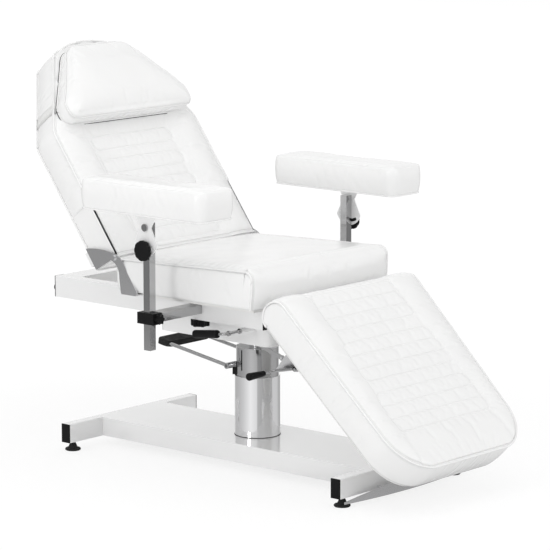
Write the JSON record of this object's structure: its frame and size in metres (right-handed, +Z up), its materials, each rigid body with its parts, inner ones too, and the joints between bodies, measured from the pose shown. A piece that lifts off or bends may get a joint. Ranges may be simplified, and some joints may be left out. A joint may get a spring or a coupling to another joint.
{
  "type": "tattoo chair",
  "caption": "Hydraulic treatment chair on an H base, with a reclining back, tilting leg rest, head pillow and adjustable armrests.",
  "frame": {"origin": "on the floor under the middle of the chair's outer box", "axes": "+Z up, -Y towards the foot end, +X towards the sitter's left hand side seen from the foot end"},
  "size_m": [1.041, 1.6279, 1.2603],
  "materials": {
    "white_paint": "gloss",
    "chrome": "polished",
    "polished_plate": "polished",
    "grey_steel": "satin",
    "white_vinyl": "gloss",
    "board": "plain",
    "black_rubber": "matte",
    "black_plastic": "satin",
    "strap_web": "woven"
  },
  "bodies": {
    "base": {"base_cross_bars": "white_paint", "base_beam": "white_paint", "base_bar_caps": "black_plastic", "kick_plate": "polished_plate", "column_cover": "white_paint", "column_sleeve": "chrome", "column_ring": "black_plastic", "pump_body": "grey_steel", "pump_bolts": "grey_steel", "pedal_stops": "black_rubber"},
    "foot_1": {"levelling_foot_1": "black_rubber"},
    "foot_2": {"levelling_foot_2": "black_rubber"},
    "foot_3": {"levelling_foot_3": "black_rubber"},
    "foot_4": {"levelling_foot_4": "black_rubber"},
    "pedal": {"pedal_bar": "chrome", "pedal_shaft": "grey_steel", "pedal_tread": "black_rubber"},
    "lift": {"column_ram": "chrome", "column_bolts": "grey_steel", "mounting_box": "white_paint", "frame_rail_left": "white_paint", "frame_rail_right": "white_paint", "frame_cross_tubes": "white_paint", "rail_caps": "black_plastic", "rear_bumpers": "black_rubber", "frame_brackets": "white_paint", "seat_board": "board", "seat_pad": "white_vinyl", "hinge_plates": "polished_plate", "hinge_pins": "chrome"},
    "back": {"back_pad": "white_vinyl", "back_board": "board", "back_brackets": "white_paint", "head_pillow": "white_vinyl", "pillow_strap": "strap_web"},
    "back_stay_bar": {"back_stay": "white_paint"},
    "leg": {"leg_pad": "white_vinyl", "leg_board": "board", "leg_brackets": "white_paint"},
    "leg_stay_bar": {"leg_stay": "white_paint"},
    "leg_release": {"leg_lever": "chrome", "leg_lever_grip": "black_plastic"},
    "back_release": {"back_lever": "chrome", "back_lever_grip": "black_plastic"},
    "arm_left": {"arm_tube_left": "chrome", "arm_block_left": "black_plastic"},
    "post_left": {"arm_post_left": "chrome"},
    "rest_left": {"arm_plate_left": "chrome", "arm_pad_left": "white_vinyl"},
    "tilt_clamp_left": {"tilt_knob_left": "black_plastic"},
    "post_clamp_left": {"block_knob_left": "black_plastic"},
    "rail_clamp_left": {"rail_knob_left": "black_plastic"},
    "arm_right": {"arm_tube_right": "chrome", "arm_block_right": "black_plastic"},
    "post_right": {"arm_post_right": "chrome"},
    "rest_right": {"arm_plate_right": "chrome", "arm_pad_right": "white_vinyl"},
    "tilt_clamp_right": {"tilt_knob_right": "black_plastic"},
    "post_clamp_right": {"block_knob_right": "black_plastic"},
    "rail_clamp_right": {"rail_knob_right": "black_plastic"}
  },
  "joints": [
    {"name": "column_lift", "type": "slide", "parent": "base", "child": "lift", "axis": [0, 0, 1], "range_m": [0, 0.18]},
    {"name": "pump_pedal", "type": "hinge", "parent": "base", "child": "pedal", "pos_m": [-0.0355, 0.05704, 0.307], "axis": [-1, 0, 0], "range_deg": [0, 20], "stiffness_Nm_per_rad": 30, "springref_deg": -22.92},
    {"name": "foot_1_level", "type": "slide", "parent": "base", "child": "foot_1", "axis": [0, 0, -1], "range_m": [-0.003, 0.008]},
    {"name": "foot_2_level", "type": "slide", "parent": "base", "child": "foot_2", "axis": [0, 0, -1], "range_m": [-0.003, 0.008]},
    {"name": "foot_3_level", "type": "slide", "parent": "base", "child": "foot_3", "axis": [0, 0, -1], "range_m": [-0.003, 0.008]},
    {"name": "foot_4_level", "type": "slide", "parent": "base", "child": "foot_4", "axis": [0, 0, -1], "range_m": [-0.003, 0.008]},
    {"name": "back_recline", "type": "hinge", "parent": "lift", "child": "back", "pos_m": [-0.0355, 0.30905, 0.643], "axis": [-1, 0, 0], "range_deg": [0, 53.7]},
    {"name": "back_stay_swing", "type": "hinge", "parent": "back", "child": "back_stay_bar", "pos_m": [-0.0355, 0.52416, 0.73314], "axis": [1, 0, 0], "range_deg": [0, 21.22]},
    {"name": "leg_raise", "type": "hinge", "parent": "lift", "child": "leg", "pos_m": [-0.0355, -0.25595, 0.536], "axis": [-1, 0, 0], "range_deg": [0, 43.5]},
    {"name": "leg_stay_swing", "type": "hinge", "parent": "leg", "child": "leg_stay_bar", "pos_m": [-0.1355, -0.16997, 0.36214], "axis": [1, 0, 0], "range_deg": [0, 35.53]},
    {"name": "leg_release_lever", "type": "hinge", "parent": "leg", "child": "leg_release", "pos_m": [-0.1435, -0.23295, 0.339], "axis": [1, 0, 0], "range_deg": [0, 15], "stiffness_Nm_per_rad": 2, "springref_deg": -22.92},
    {"name": "back_release_lever", "type": "hinge", "parent": "lift", "child": "back_release", "pos_m": [-0.1755, -0.09996, 0.452], "axis": [1, 0, 0], "range_deg": [0, 12], "stiffness_Nm_per_rad": 4, "springref_deg": -22.92},
    {"name": "arm_left_out", "type": "slide", "parent": "lift", "child": "arm_left", "axis": [-1, 0, 0], "range_m": [0, 0.08]},
    {"name": "arm_left_height", "type": "slide", "parent": "arm_left", "child": "post_left", "axis": [0, 0, 1], "range_m": [-0.1, 0.06]},
    {"name": "arm_left_tilt", "type": "hinge", "parent": "post_left", "child": "rest_left", "pos_m": [-0.4555, 0.06704, 0.774], "axis": [1, 0, 0], "range_deg": [-24, 24]},
    {"name": "tilt_knob_left_turn", "type": "hinge", "parent": "post_left", "child": "tilt_clamp_left", "pos_m": [-0.4555, 0.06704, 0.706], "axis": [-1, 0, 0], "continuous": true},
    {"name": "block_knob_left_turn", "type": "hinge", "parent": "arm_left", "child": "post_clamp_left", "pos_m": [-0.4555, 0.03504, 0.502], "axis": [0, -1, 0], "continuous": true},
    {"name": "rail_knob_left_turn", "type": "hinge", "parent": "lift", "child": "rail_clamp_left", "pos_m": [-0.2335, 0.06704, 0.468], "axis": [0, 0, -1], "continuous": true},
    {"name": "arm_right_out", "type": "slide", "parent": "lift", "child": "arm_right", "axis": [1, 0, 0], "range_m": [-0.071, 0.009]},
    {"name": "arm_right_height", "type": "slide", "parent": "arm_right", "child": "post_right", "axis": [0, 0, 1], "range_m": [-0.08, 0.08]},
    {"name": "arm_right_tilt", "type": "hinge", "parent": "post_right", "child": "rest_right", "pos_m": [0.4555, 0.06704, 0.754], "axis": [1, 0, 0], "range_deg": [-24, 24]},
    {"name": "tilt_knob_right_turn", "type": "hinge", "parent": "post_right", "child": "tilt_clamp_right", "pos_m": [0.4555, 0.06704, 0.686], "axis": [1, 0, 0], "continuous": true},
    {"name": "block_knob_right_turn", "type": "hinge", "parent": "arm_right", "child": "post_clamp_right", "pos_m": [0.4555, 0.03504, 0.502], "axis": [0, -1, 0], "continuous": true},
    {"name": "rail_knob_right_turn", "type": "hinge", "parent": "lift", "child": "rail_clamp_right", "pos_m": [0.1625, 0.06704, 0.468], "axis": [0, 0, -1], "continuous": true}
  ],
  "couplings": [
    {"joint": "back_stay_swing", "follows": "back_recline", "ratio": 0.39524},
    {"joint": "leg_stay_swing", "follows": "leg_raise", "ratio": 0.81671}
  ]
}
